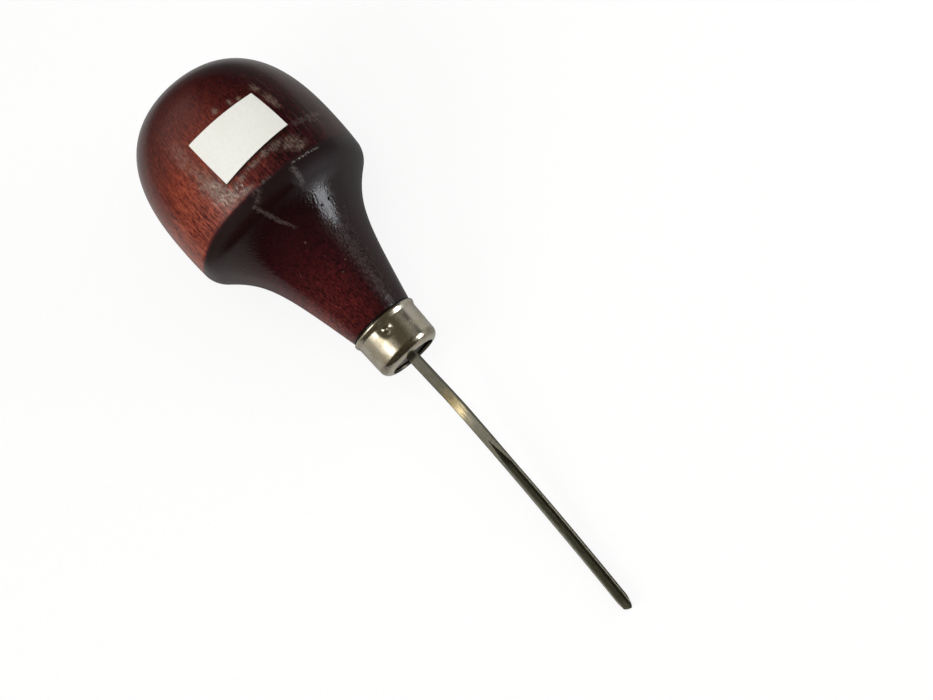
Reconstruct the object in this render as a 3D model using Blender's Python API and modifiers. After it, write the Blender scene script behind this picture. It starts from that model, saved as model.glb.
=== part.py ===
# Palm-handled V-tool for wood carving: turned hardwood handle, drawn ferrule,
# forged steel blade with a ground V channel, and a blank paper label.
# The tool is modelled standing on its butt with its axis on local Z and the side
# that the channel opens to on local -X. An empty then lays it on the bench.

from math import atan, cos, pi, radians, sin, sqrt, tan

import bmesh
import bpy
import numpy as np
from mathutils import Vector

# Handle, in metres along the axis from the butt
HEAD_DIAMETER = 0.038
DOME_LENGTH = 0.0251
DOME_FULLNESS = 2.6
BAND_LENGTH = 0.0054
BAND_DRAFT = 0.0002
SHOULDER_RADIUS = 0.0045
SHOULDER_TURN = radians(49)
NECK_LENGTH = 0.0252
NECK_TAPER = radians(13)
NECK_HOLD_HEAD = 0.30
NECK_HOLD_FERRULE = 0.60

# Ferrule
FERRULE_DIAMETER = 0.0131
FERRULE_LENGTH = 0.0084
FERRULE_DRAFT = 0.00013
FERRULE_WALL = 0.00045
FERRULE_OPENING = 0.0093
RIM_FLARE = 0.00033
RIM_WIDTH = 0.0013
TENON_RECESS = 0.0014
TENON_CHAMFER = 0.0006

# Punch mark that stakes the ferrule to the tenon
PUNCH_RADIUS = 0.0009
PUNCH_DEPTH = 0.00045
PUNCH_SETBACK = 0.0023
PUNCH_ANGLE = radians(10)
BUMP_SEAT = 0.6

# Blade, along its own centre line from the ferrule's front
TANG_LENGTH = 0.026
TANG_POINT = 0.0009
SHANK_WIDTH = 0.00195
SHANK_THICKNESS = 0.0016
SHANK_DIP = radians(6)
DIP_SPAN = 0.001
CRANK_AT = 0.0116
CRANK_SPAN = 0.0036
BLADE_REACH = 0.0603
BLADE_WIDTH = 0.00222
FLARE_SPAN = 0.024
BLADE_SWEEP = radians(11)
EDGE_BREAK = 0.00012
GROOVE_AT = 0.0206
GROOVE_RUNOUT = 0.0058
GROOVE_ANGLE = radians(60)
LAND_WIDTH = 0.00028
SIDE_HEIGHT = 0.0006
KEEL_WALL = 0.00055
KEEL_ROUND = 0.00018
BEVEL_LENGTH = 0.0013
CUTTING_EDGE = 0.0001
NOSE_LENGTH = 0.0011
NOSE_SPAN = 0.005

# Label
LABEL_WIDTH = 0.0151
LABEL_HEIGHT = 0.0095
LABEL_FROM_BUTT = 0.0199
LABEL_ANGLE = radians(23.4)
LABEL_TWIST = radians(3.7)
PAPER = 0.00015
PAPER_GAP = 0.0001

# Clearances and facets
FIT_GAP = 0.0003
CUT_MARGIN = 0.001
TURNED_STEPS = 48
BALL_SEGMENTS = 20

# Sizes that follow
HEAD_RADIUS = HEAD_DIAMETER / 2
WALL_REAR = FERRULE_DIAMETER / 2
WALL_FRONT = WALL_REAR - FERRULE_DRAFT
CORNER_RADIUS = WALL_FRONT - FERRULE_OPENING / 2
TENON_RADIUS = WALL_FRONT - FERRULE_WALL - FIT_GAP


def arc(centre_z, centre_r, radius, start, end, count):
    """Points (r, z) on an arc, with angles counted from the radial direction towards the tip."""
    return [
        (centre_r + radius * cos(a), centre_z + radius * sin(a))
        for a in np.linspace(start, end, count)
    ]


def bezier(a, b, c, d, count):
    """Points on a cubic curve from a to d."""
    a, b, c, d = map(np.array, (a, b, c, d))
    return [
        tuple((1 - t) ** 3 * a + 3 * (1 - t) ** 2 * t * b + 3 * (1 - t) * t**2 * c + t**3 * d)
        for t in np.linspace(0, 1, count)
    ]


def head_outline():
    """Outline (r, z) of the wood from the butt to the end of the neck."""
    power = 2 / DOME_FULLNESS
    dome = [
        (HEAD_RADIUS * sin(a) ** power, DOME_LENGTH * (1 - cos(a) ** power))
        for a in np.linspace(0, pi / 2, 17)[:-1]
    ]
    band = [
        (HEAD_RADIUS - BAND_DRAFT * t**2, DOME_LENGTH + BAND_LENGTH * t)
        for t in np.linspace(0, 1, 4)[:-1]
    ]
    lean = atan(2 * BAND_DRAFT / BAND_LENGTH)
    band_r, band_z = HEAD_RADIUS - BAND_DRAFT, DOME_LENGTH + BAND_LENGTH
    shoulder = arc(
        band_z - SHOULDER_RADIUS * sin(lean),
        band_r - SHOULDER_RADIUS * cos(lean),
        SHOULDER_RADIUS,
        lean,
        SHOULDER_TURN,
        7,
    )
    top_r, top_z = shoulder[-1]
    end_r, end_z = WALL_REAR, top_z + NECK_LENGTH
    chord = sqrt((top_r - end_r) ** 2 + NECK_LENGTH**2)
    hold, pull = NECK_HOLD_HEAD * chord, NECK_HOLD_FERRULE * chord
    neck = bezier(
        (top_r, top_z),
        (top_r - hold * sin(SHOULDER_TURN), top_z + hold * cos(SHOULDER_TURN)),
        (end_r + pull * sin(NECK_TAPER), end_z - pull * cos(NECK_TAPER)),
        (end_r, end_z),
        15,
    )
    return dome + band + shoulder + neck[1:]


HEAD = head_outline()
NECK_END = HEAD[-1][1]
FERRULE_REAR = NECK_END + FIT_GAP
FERRULE_FRONT = FERRULE_REAR + FERRULE_LENGTH
TENON_END = FERRULE_FRONT - TENON_RECESS


def clear_scene():
    for obj in list(bpy.data.objects):
        bpy.data.objects.remove(obj, do_unlink=True)


def new_collection(name):
    made = bpy.data.collections.new(name)
    bpy.context.scene.collection.children.link(made)
    return made


def new_material(name, colour, roughness, metallic):
    made = bpy.data.materials.new(name)
    made.use_nodes = True
    shader = made.node_tree.nodes["Principled BSDF"]
    shader.inputs["Base Color"].default_value = (*colour, 1)
    shader.inputs["Roughness"].default_value = roughness
    shader.inputs["Metallic"].default_value = metallic
    return made


def add_object(name, mesh, collection, axis, material=None):
    made = bpy.data.objects.new(name, mesh)
    collection.objects.link(made)
    made.parent = axis
    if material:
        mesh.materials.append(material)
    return made


def add_cutter(name, mesh, collection, axis):
    made = add_object(name, mesh, collection, axis)
    made.hide_render = True
    made.display_type = "WIRE"
    return made


def mesh_from(name, shape):
    made = bpy.data.meshes.new(name)
    shape.to_mesh(made)
    shape.free()
    return made


def turned_mesh(name, outline):
    """A profile of points (r, z), listed from the tip's end down."""
    made = bpy.data.meshes.new(name)
    points = [(r, 0, z) for r, z in outline]
    made.from_pydata(points, [(i, i + 1) for i in range(len(points) - 1)], [])
    return made


def add_screw(obj):
    turn = obj.modifiers.new("turned", "SCREW")
    turn.axis = "Z"
    turn.angle = 2 * pi
    turn.steps = turn.render_steps = TURNED_STEPS
    turn.use_merge_vertices = True
    turn.merge_threshold = 0.00001
    turn.use_smooth_shade = True
    obj.rotation_euler.z = pi / TURNED_STEPS


def add_boolean(obj, operation, cutter):
    cut = obj.modifiers.new(cutter.name, "BOOLEAN")
    cut.operation = operation
    cut.solver = "EXACT"
    cut.object = cutter


def facing(angle):
    """Unit vector square to the axis, at an angle from the open side towards local +Y."""
    return Vector((-cos(angle), sin(angle), 0))


def ball(name, radius, centre, cut_point=None, cut_normal=None):
    """A ball, or only the part of it behind a plane."""
    shape = bmesh.new()
    bmesh.ops.create_uvsphere(
        shape, u_segments=BALL_SEGMENTS, v_segments=BALL_SEGMENTS // 2, radius=radius
    )
    bmesh.ops.translate(shape, vec=centre, verts=shape.verts)
    if cut_point:
        everything = shape.verts[:] + shape.edges[:] + shape.faces[:]
        cut = bmesh.ops.bisect_plane(
            shape, geom=everything, plane_co=cut_point, plane_no=cut_normal, clear_outer=True
        )
        rim = [e for e in cut["geom_cut"] if isinstance(e, bmesh.types.BMEdge)]
        bmesh.ops.edgeloop_fill(shape, edges=rim)
        bmesh.ops.recalc_face_normals(shape, faces=shape.faces)
    return mesh_from(name, shape)


def along_blade(distance):
    """Point (z, height) on the blade's centre line and the line's slope there."""
    runs = (
        (DIP_SPAN, -SHANK_DIP),
        (CRANK_AT - CRANK_SPAN / 2 - DIP_SPAN, 0),
        (CRANK_SPAN, SHANK_DIP),
        (BLADE_REACH - CRANK_AT - CRANK_SPAN / 2, BLADE_SWEEP),
    )
    z, height, slope = FERRULE_FRONT, 0.0, 0.0
    if distance <= 0:
        return z + distance, height, slope
    left = distance
    for number, (length, turn) in enumerate(runs):
        last = number == len(runs) - 1
        step = left if last else min(left, length)
        bend = turn * step / length
        chord = step * (sin(bend / 2) / (bend / 2) if bend else 1)
        z += chord * cos(slope + bend / 2)
        height += chord * sin(slope + bend / 2)
        slope += bend
        left -= step
        if left <= 0:
            break
    return z, height, slope


def share(value, start, end):
    """How far a value lies between start and end, from 0 to 1."""
    return min(max((value - start) / (end - start), 0.0), 1.0)


def blade_half_section(distance, grow):
    """Half of the section there: points (sideways, depth under the top face), and the top's height."""
    tang_from = -TENON_RECESS - TANG_LENGTH
    full = share(distance, tang_from, -TENON_RECESS)
    half = (TANG_POINT + (SHANK_WIDTH - TANG_POINT) * full) / 2 + grow
    thick = TANG_POINT + (SHANK_THICKNESS - TANG_POINT) * full + 2 * grow
    top = thick / 2
    half += (BLADE_WIDTH - SHANK_WIDTH) / 2 * share(distance, CRANK_AT, CRANK_AT + FLARE_SPAN)
    open_share = share(distance, GROOVE_AT, GROOVE_AT + GROOVE_RUNOUT)
    lip = (half - LAND_WIDTH) * open_share
    depth = lip / tan(GROOVE_ANGLE / 2)
    whole_depth = (half - LAND_WIDTH) / tan(GROOVE_ANGLE / 2)
    keel = whole_depth + KEEL_WALL
    plain = [
        (half, thick - EDGE_BREAK),
        (half - EDGE_BREAK, thick),
        (0, thick),
    ]
    ground = [(half, SIDE_HEIGHT), (KEEL_ROUND, keel - KEEL_ROUND / 3), (0, keel)]
    turn = share(distance, CRANK_AT + CRANK_SPAN / 2, GROOVE_AT + GROOVE_RUNOUT)
    under = [tuple(np.array(p) * (1 - turn) + np.array(g) * turn) for p, g in zip(plain, ground)]
    outer = [(half - EDGE_BREAK, 0), (half, EDGE_BREAK)] + under
    edge_wall = SIDE_HEIGHT * tan(GROOVE_ANGLE / 2)
    sharp = [
        (lip + CUTTING_EDGE / 2, 0),
        (lip + CUTTING_EDGE, CUTTING_EDGE),
        (lip - edge_wall + CUTTING_EDGE, SIDE_HEIGHT),
        (KEEL_ROUND, depth - KEEL_ROUND + CUTTING_EDGE),
        (0, depth + CUTTING_EDGE),
    ]
    worn = share(distance, BLADE_REACH - BEVEL_LENGTH, BLADE_REACH)
    outer = [tuple(np.array(o) * (1 - worn) + np.array(s) * worn) for o, s in zip(outer, sharp)]
    wall = (lip - edge_wall * open_share, SIDE_HEIGHT * open_share)
    return [(0, depth), wall, (lip, 0)] + outer, top


def blade_ring(shape, distance, grow=0.0):
    half, top = blade_half_section(distance, grow)
    around = half + [(-side, depth) for side, depth in half[-2:0:-1]]
    nose = NOSE_LENGTH * share(distance, BLADE_REACH - NOSE_SPAN, BLADE_REACH)
    ring = []
    for side, depth in around:
        set_back = nose * (1 - sqrt(1 - min(abs(side) * 2 / BLADE_WIDTH, 1.0) ** 2))
        z, height, slope = along_blade(distance - set_back)
        rise = top - depth
        up = height + rise * cos(slope)
        ring.append(shape.verts.new((-up, side, z - rise * sin(slope))))
    return ring


def loft(rings, shape):
    for near, far in zip(rings, rings[1:]):
        for i in range(len(near)):
            j = (i + 1) % len(near)
            shape.faces.new((near[i], near[j], far[j], far[i]))
    shape.faces.new(rings[0])
    shape.faces.new(rings[-1])
    bmesh.ops.remove_doubles(shape, verts=shape.verts, dist=0.000001)
    bmesh.ops.recalc_face_normals(shape, faces=shape.faces)


def blade_mesh():
    tang_from = -TENON_RECESS - TANG_LENGTH
    crank_from, crank_to = CRANK_AT - CRANK_SPAN / 2, CRANK_AT + CRANK_SPAN / 2
    groove_full = GROOVE_AT + GROOVE_RUNOUT
    bevel_from = BLADE_REACH - BEVEL_LENGTH
    stations = np.unique(
        np.concatenate(
            [
                [tang_from, -TENON_RECESS],
                np.linspace(0, DIP_SPAN, 3),
                np.linspace(crank_from, crank_to, 7),
                np.linspace(crank_to, GROOVE_AT, 4),
                np.linspace(GROOVE_AT, groove_full, 5),
                np.linspace(groove_full, bevel_from, 14),
                np.linspace(bevel_from, BLADE_REACH, 4),
            ]
        ).round(9)
    )
    shape = bmesh.new()
    loft([blade_ring(shape, distance) for distance in stations], shape)
    return mesh_from("blade", shape)


def pocket_mesh():
    """The tang's own taper, grown by the fit gap and run out past the tenon's end."""
    deep, mouth = -TENON_RECESS - TANG_LENGTH, -TENON_RECESS
    shape = bmesh.new()
    rings = [blade_ring(shape, distance, FIT_GAP) for distance in (deep, mouth, mouth + CUT_MARGIN)]
    for vert in rings[0]:
        vert.co.z -= FIT_GAP
    loft(rings, shape)
    return mesh_from("tang_pocket", shape)


def handle_outline():
    tenon = [
        (0, TENON_END),
        (TENON_RADIUS - TENON_CHAMFER, TENON_END),
        (TENON_RADIUS, TENON_END - TENON_CHAMFER),
        (TENON_RADIUS, NECK_END),
    ]
    return tenon + HEAD[::-1]


def ferrule_outline():
    corner = arc(
        FERRULE_FRONT - CORNER_RADIUS, FERRULE_OPENING / 2, CORNER_RADIUS, pi / 2, 0, 8
    )
    rim = [
        (WALL_REAR + RIM_FLARE * (1 - cos(pi * t)) / 2, FERRULE_REAR + RIM_WIDTH * (1 - t))
        for t in np.linspace(0, 1, 6)
    ]
    return corner + rim


def label_mesh():
    stations = np.array(HEAD)
    shape = bmesh.new()
    bmesh.ops.create_grid(shape, x_segments=14, y_segments=8, size=0.5)
    for vert in shape.verts:
        across, down = vert.co.x * LABEL_WIDTH, -vert.co.y * LABEL_HEIGHT
        round_head = across * cos(LABEL_TWIST) + down * sin(LABEL_TWIST)
        z = LABEL_FROM_BUTT + down * cos(LABEL_TWIST) - across * sin(LABEL_TWIST)
        radius = np.interp(z, stations[:, 1], stations[:, 0])
        out = facing(LABEL_ANGLE + round_head / radius)
        vert.co = out * (radius + PAPER_GAP) + Vector((0, 0, z))
    return mesh_from("label", shape)


def build_handle(parts, cutters, axis, punch_centre):
    stain = new_material("stained_hardwood", (0.16, 0.02, 0.018), 0.25, 0)
    handle = add_object("handle", turned_mesh("handle", handle_outline()), parts, axis, stain)
    add_screw(handle)
    pocket = add_cutter("tang_pocket", pocket_mesh(), cutters, axis)
    add_boolean(handle, "DIFFERENCE", pocket)
    pit_radius = PUNCH_RADIUS + FERRULE_WALL + FIT_GAP
    pit = add_cutter("punch_pit", ball("punch_pit", pit_radius, punch_centre), cutters, axis)
    add_boolean(handle, "DIFFERENCE", pit)


def build_ferrule(parts, cutters, axis, punch_centre, punch_out):
    nickel = new_material("nickel_plate", (0.66, 0.6, 0.52), 0.15, 1)
    ferrule = add_object("ferrule", turned_mesh("ferrule", ferrule_outline()), parts, axis, nickel)
    add_screw(ferrule)
    wall = ferrule.modifiers.new("drawn_wall", "SOLIDIFY")
    wall.thickness = FERRULE_WALL
    wall.offset = -1
    wall.use_even_offset = True
    in_wall = punch_centre - punch_out * (PUNCH_RADIUS - PUNCH_DEPTH + FERRULE_WALL * BUMP_SEAT)
    bump_mesh = ball(
        "punch_bump", PUNCH_RADIUS + FERRULE_WALL, punch_centre, in_wall, punch_out
    )
    bump = add_cutter("punch_bump", bump_mesh, cutters, axis)
    add_boolean(ferrule, "UNION", bump)
    dent = add_cutter("punch_dent", ball("punch_dent", PUNCH_RADIUS, punch_centre), cutters, axis)
    add_boolean(ferrule, "DIFFERENCE", dent)


def build_blade(parts, axis):
    steel = new_material("tool_steel", (0.3, 0.29, 0.25), 0.35, 1)
    blade = add_object("blade", blade_mesh(), parts, axis, steel)
    blade.data.shade_smooth()
    blade.data.set_sharp_from_angle(angle=radians(25))


def build_label(parts, axis):
    paper = new_material("white_paper", (0.86, 0.86, 0.85), 0.7, 0)
    label = add_object("label", label_mesh(), parts, axis, paper)
    label.data.shade_smooth()
    sheet = label.modifiers.new("sheet", "SOLIDIFY")
    sheet.thickness = PAPER
    sheet.offset = 1


def tool_points(parts):
    """Every piece's vertices in the tool's own frame, by name."""
    bpy.context.view_layer.update()
    graph = bpy.context.evaluated_depsgraph_get()
    found = {}
    for obj in parts.objects:
        solid = obj.evaluated_get(graph)
        mesh = solid.to_mesh()
        found[obj.name] = np.array([solid.matrix_world @ v.co for v in mesh.vertices])
        solid.to_mesh_clear()
    return found


def lay_on_bench(axis, parts):
    """Turns the tool onto its head and its tip, and centres it over the origin."""
    points = tool_points(parts)

    def lowest(name, tilt):
        return (-points[name][:, 0] * cos(tilt) - points[name][:, 2] * sin(tilt)).min()

    low, high = 0.0, pi / 4
    for _ in range(60):
        tilt = (low + high) / 2
        if lowest("handle", tilt) < lowest("blade", tilt):
            low = tilt
        else:
            high = tilt
    axis.rotation_euler = (0, pi / 2 + tilt, 0)
    bpy.context.view_layer.update()
    everything = np.concatenate(list(points.values()))
    laid = everything @ np.array(axis.matrix_world.to_3x3()).T
    low_corner, high_corner = laid.min(axis=0), laid.max(axis=0)
    middle = (low_corner + high_corner) / 2
    axis.location = (-middle[0], -middle[1], -low_corner[2])


def build():
    clear_scene()
    parts = new_collection("carving_v_tool")
    cutters = new_collection("cutters")
    cutters.hide_render = True
    axis = bpy.data.objects.new("tool_axis", None)
    bpy.context.scene.collection.objects.link(axis)
    punch_out = facing(PUNCH_ANGLE)
    reach = WALL_REAR - FERRULE_DRAFT * PUNCH_SETBACK / FERRULE_LENGTH
    punch_centre = punch_out * (reach - PUNCH_DEPTH + PUNCH_RADIUS)
    punch_centre.z = FERRULE_REAR + PUNCH_SETBACK
    build_handle(parts, cutters, axis, punch_centre)
    build_ferrule(parts, cutters, axis, punch_centre, punch_out)
    build_blade(parts, axis)
    build_label(parts, axis)
    lay_on_bench(axis, parts)


build()
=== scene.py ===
from math import atan, cos, degrees, exp, inf, pi, prod, radians, sin, sqrt, tan
from types import SimpleNamespace

import bmesh
import bpy
import numpy as np
from mathutils import Matrix, Vector


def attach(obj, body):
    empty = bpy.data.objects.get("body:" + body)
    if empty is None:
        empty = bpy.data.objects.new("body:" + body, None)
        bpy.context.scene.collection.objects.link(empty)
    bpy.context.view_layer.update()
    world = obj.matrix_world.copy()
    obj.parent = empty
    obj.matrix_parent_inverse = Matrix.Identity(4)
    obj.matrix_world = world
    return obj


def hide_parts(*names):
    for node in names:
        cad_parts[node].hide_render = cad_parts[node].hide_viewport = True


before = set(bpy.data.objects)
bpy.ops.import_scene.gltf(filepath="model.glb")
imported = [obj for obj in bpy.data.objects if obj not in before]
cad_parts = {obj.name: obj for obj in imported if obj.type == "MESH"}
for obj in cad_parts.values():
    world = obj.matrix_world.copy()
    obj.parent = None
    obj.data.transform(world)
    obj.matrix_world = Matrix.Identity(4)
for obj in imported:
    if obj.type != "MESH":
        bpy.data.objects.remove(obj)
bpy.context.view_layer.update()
print("frame:", ", ".join(sorted(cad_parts)))

# The tool is shaped standing on its butt, in millimetres, with the channel's open side on -X.
# Then it is turned about Y and set down on its head and its tip.
bench = {
    "turn": radians(102.1965210),
    "place": (-0.062228657, 0.0, 0.024823276),
    "millimetre": 0.001,
    "facet": 0.9991 * cos(pi / 48),  # turned sizes stay inside the faceted solids
    "doubles": 0.0005,  # points this close are merged
    "slivers": 0.0002,
}
layDown = (
    Matrix.Translation(bench["place"])
    @ Matrix.Rotation(bench["turn"], 4, "Y")
    @ Matrix.Scale(bench["millimetre"], 4)
)


class Wire:
    def __init__(self, tree, socket=None):
        self.tree, self.socket = tree, socket

    # any shader node: its settings come first, then its sockets by name or number
    def node(self, kind, settings=None, sockets=None, out=0):
        made = self.tree.nodes.new("ShaderNode" + kind)
        for key, value in (settings or {}).items():
            if key == "stops":
                stops = made.color_ramp.elements
                stops[0].position, stops[0].color = value[0][0], (*value[0][1], 1)
                stops[1].position, stops[1].color = value[-1][0], (*value[-1][1], 1)
                for place, colour in value[1:-1]:
                    stops.new(place).color = (*colour, 1)
            else:
                setattr(made, key, value)
        for key, value in (sockets or {}).items():
            if isinstance(value, Wire):
                self.tree.links.new(value.socket, made.inputs[key])
            else:
                made.inputs[key].default_value = value
        return Wire(self.tree, made.outputs[out])

    def maths(self, operation, first, second=0.0):
        return self.node("Math", {"operation": operation}, {0: first, 1: second})

    def __add__(self, other):
        return self.maths("ADD", self, other)

    __radd__ = __add__

    def __sub__(self, other):
        return self.maths("SUBTRACT", self, other)

    def __rsub__(self, other):
        return self.maths("SUBTRACT", other, self)

    def __mul__(self, other):
        return self.maths("MULTIPLY", self, other)

    __rmul__ = __mul__

    def __truediv__(self, other):
        return self.maths("DIVIDE", self, other)

    def __pow__(self, other):
        return self.maths("POWER", self, other)

    def __abs__(self):
        return self.maths("ABSOLUTE", self)

    def larger(self, other):
        return self.maths("MAXIMUM", self, other)

    # a noise about its middle
    def swing(self, amount):
        return (self - 0.5) * amount

    # so much anyway, and more where this is high
    def spread(self, least, more):
        return least + more * self

    # 0 below low and 1 above high, or the other way round where low is the higher
    def step(self, low, high):
        smooth = {"interpolation_type": "SMOOTHSTEP"}
        return self.node("MapRange", smooth, {0: self, 1: low, 2: high})

    # several steps that all have to hold
    def within(self, *edges):
        return prod(self.step(*edge) for edge in edges)

    def ramp(self, *stops):
        return self.node("ValToRGB", {"stops": stops}, {0: self})

    # a ramp of plain values
    def levels(self, *stops):
        return self.ramp(*((place, (value,) * 3) for place, value in stops))

    def blend(self, under, over, kind="MIX"):
        under, over = (c if isinstance(c, Wire) else (*c, 1) for c in (under, over))
        settings = {"data_type": "RGBA", "blend_type": kind}
        return self.node("Mix", settings, {0: self, 6: under, 7: over}, 2)

    # lays a tone over a colour where this mask is set
    def paint(self, colour, amount, tone):
        return (self * amount).blend(colour, tone)

    def axis(self, number):
        return self.node("SeparateXYZ", {}, {0: self}, number)

    def vector(self, operation, second=(0, 0, 0), out=0):
        return self.node("VectorMath", {"operation": operation}, {0: self, 1: second}, out)

    # this point in a frame that is moved, turned and scaled
    def seenFrom(self, place, turn, size):
        sockets = {"Vector": self, "Location": place, "Rotation": turn, "Scale": size}
        return self.node("Mapping", {"vector_type": "TEXTURE"}, sockets)

    def noise(self, scale, detail, roughness, stretch=(1, 1, 1)):
        spread = self.node("Mapping", {}, {"Vector": self, "Scale": stretch})
        sockets = {"Vector": spread, "Scale": scale, "Detail": detail, "Roughness": roughness}
        return self.node("TexNoise", {}, sockets)


# a material with its shader's fixed values, and the object's own coordinates
def newMaterial(name, fixed):
    finish = bpy.data.materials.new(name)
    finish.use_nodes = True
    shader = finish.node_tree.nodes["Principled BSDF"]
    for key, value in fixed.items():
        shader.inputs[key].default_value = value
    place = Wire(finish.node_tree).node("TexCoord", out="Object")
    return finish, shader, place


# a piece's finish: its noises by name, read at the tool's own coordinates in millimetres
def newFinish(name, fixed, noises):
    finish, shader, place = newMaterial(name, fixed)
    tool = place.seenFrom(bench["place"], (0, bench["turn"], 0), (bench["millimetre"],) * 3)
    read = SimpleNamespace(tool=tool)
    for key, setting in noises.items():
        setattr(read, key, tool.noise(*setting))
    return finish, shader, read


# what was read, in the given parts
def mixParts(read, parts):
    return sum(getattr(read, name) * part for name, part in parts.items())


def swingParts(read, parts):
    return sum(getattr(read, name).swing(part) for name, part in parts.items())


def feed(shader, key, wire):
    wire.tree.links.new(wire.socket, shader.inputs[key])


def feedBump(shader, height, depth):
    feed(shader, "Normal", height.node("Bump", {}, {"Distance": depth, "Height": height}))


def facing(angle):
    return Vector((-cos(angle), sin(angle), 0))


def faceOut(shape):
    bmesh.ops.recalc_face_normals(shape, faces=shape.faces)


def tidyShape(shape):
    bmesh.ops.remove_doubles(shape, verts=shape.verts, dist=bench["doubles"])
    bmesh.ops.dissolve_degenerate(shape, edges=shape.edges, dist=bench["slivers"])
    faceOut(shape)


def addObject(name, data):
    made = bpy.data.objects.new(name, data)
    bpy.context.scene.collection.objects.link(made)
    return made


def addShape(name, shape, finish):
    mesh = bpy.data.meshes.new(name)
    shape.to_mesh(mesh)
    shape.free()
    mesh.materials.append(finish)
    mesh.shade_smooth()
    return addObject(name, mesh)


# lays a shape on the bench as a piece of the tool
def finishPiece(name, shape, finish, node, sharpFrom):
    bmesh.ops.transform(shape, matrix=layDown, verts=shape.verts)
    piece = addShape(name, shape, finish)
    piece.data.set_sharp_from_angle(angle=radians(sharpFrom))
    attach(piece, "root")
    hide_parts(node)
    print(name, len(piece.data.polygons), "faces")


# spins an outline of points (r, z) round the axis; a closed outline makes a ring
def spinOutline(outline, steps, closed):
    shape = bmesh.new()
    verts = [shape.verts.new((r, 0, z)) for r, z in outline]
    for one, two in zip(verts, verts[1:] + verts[:1] if closed else verts[1:]):
        shape.edges.new((one, two))
    geom = shape.verts[:] + shape.edges[:]
    bmesh.ops.spin(shape, geom=geom, axis=(0, 0, 1), angle=2 * pi, steps=steps, use_merge=True)
    return shape


def faceted(outline):
    return [(r * bench["facet"], z) for r, z in outline]


def arcPoints(centreR, centreZ, radius, start, end, count):
    return [
        (centreR + radius * cos(a), centreZ + radius * sin(a))
        for a in np.linspace(start, end, count)
    ]


handle = {
    "headRadius": 19.0,
    "domeLength": 25.1,
    "domeFullness": 2.6,
    "domePoints": 34,
    "buttInset": 0.012,
    "bandLength": 5.4,
    "bandDraft": 0.2,
    "bandPoints": 8,
    "shoulderRadius": 4.5,
    "shoulderTurn": radians(49),
    "shoulderPoints": 14,
    "neckLength": 25.2,
    "neckTaper": radians(13),
    "neckHoldHead": 0.30,
    "neckHoldFerrule": 0.60,
    "neckEndRadius": 6.55,
    "neckPoints": 40,
    "seatRadius": 6.4,
    "seatRise": 0.26,  # the shoulder that the ferrule's rim bears on
    "seatEdge": 0.06,
    "fitGap": 0.3,
    "ferruleLength": 8.4,
    "tenonRadius": 5.4,
    "tenonRecess": 1.4,
    "endRecess": 0.8,
    "tenonChamfer": 0.6,
    "pocketHalf": (1.1, 1.28),
    "pocketDepth": 27.0,
    "pocketTaper": 0.6,
    "steps": 160,
    "sharpFrom": 40,
}


# outline (r, z) of the wood from the butt to the neck's end
def headOutline():
    h = handle
    power = 2 / h["domeFullness"]
    inset, rise = h["buttInset"], h["domeLength"] - h["buttInset"]
    dome = [
        (h["headRadius"] * sin(a) ** power, inset + rise * (1 - cos(a) ** power))
        for a in np.linspace(0, pi / 2, h["domePoints"])[:-1]
    ]
    band = [
        (h["headRadius"] - h["bandDraft"] * t**2, h["domeLength"] + h["bandLength"] * t)
        for t in np.linspace(0, 1, h["bandPoints"])[:-1]
    ]
    lean = atan(2 * h["bandDraft"] / h["bandLength"])
    shoulder = arcPoints(
        h["headRadius"] - h["bandDraft"] - h["shoulderRadius"] * cos(lean),
        h["domeLength"] + h["bandLength"] - h["shoulderRadius"] * sin(lean),
        h["shoulderRadius"],
        lean,
        h["shoulderTurn"],
        h["shoulderPoints"],
    )
    start = np.array(shoulder[-1])
    end = np.array((h["neckEndRadius"], start[1] + h["neckLength"]))
    chord = sqrt(((start - end) ** 2).sum())
    leave = np.array((-sin(h["shoulderTurn"]), cos(h["shoulderTurn"])))
    arrive = np.array((sin(h["neckTaper"]), -cos(h["neckTaper"])))
    hold = start + h["neckHoldHead"] * chord * leave
    pull = end + h["neckHoldFerrule"] * chord * arrive
    neck = [
        tuple(
            (1 - t) ** 3 * start
            + 3 * (1 - t) ** 2 * t * hold
            + 3 * (1 - t) * t**2 * pull
            + t**3 * end
        )
        for t in np.linspace(0, 1, h["neckPoints"])
    ]
    return dome + band + shoulder + neck[1:]


head = headOutline()
neckEnd = head[-1][1]
ferruleRear = neckEnd + handle["fitGap"]
ferruleFront = ferruleRear + handle["ferruleLength"]
tenonEnd = ferruleFront - handle["endRecess"]


def headRadiusAt(station):
    return float(np.interp(station, [z for r, z in head], [r for r, z in head]))


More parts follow.
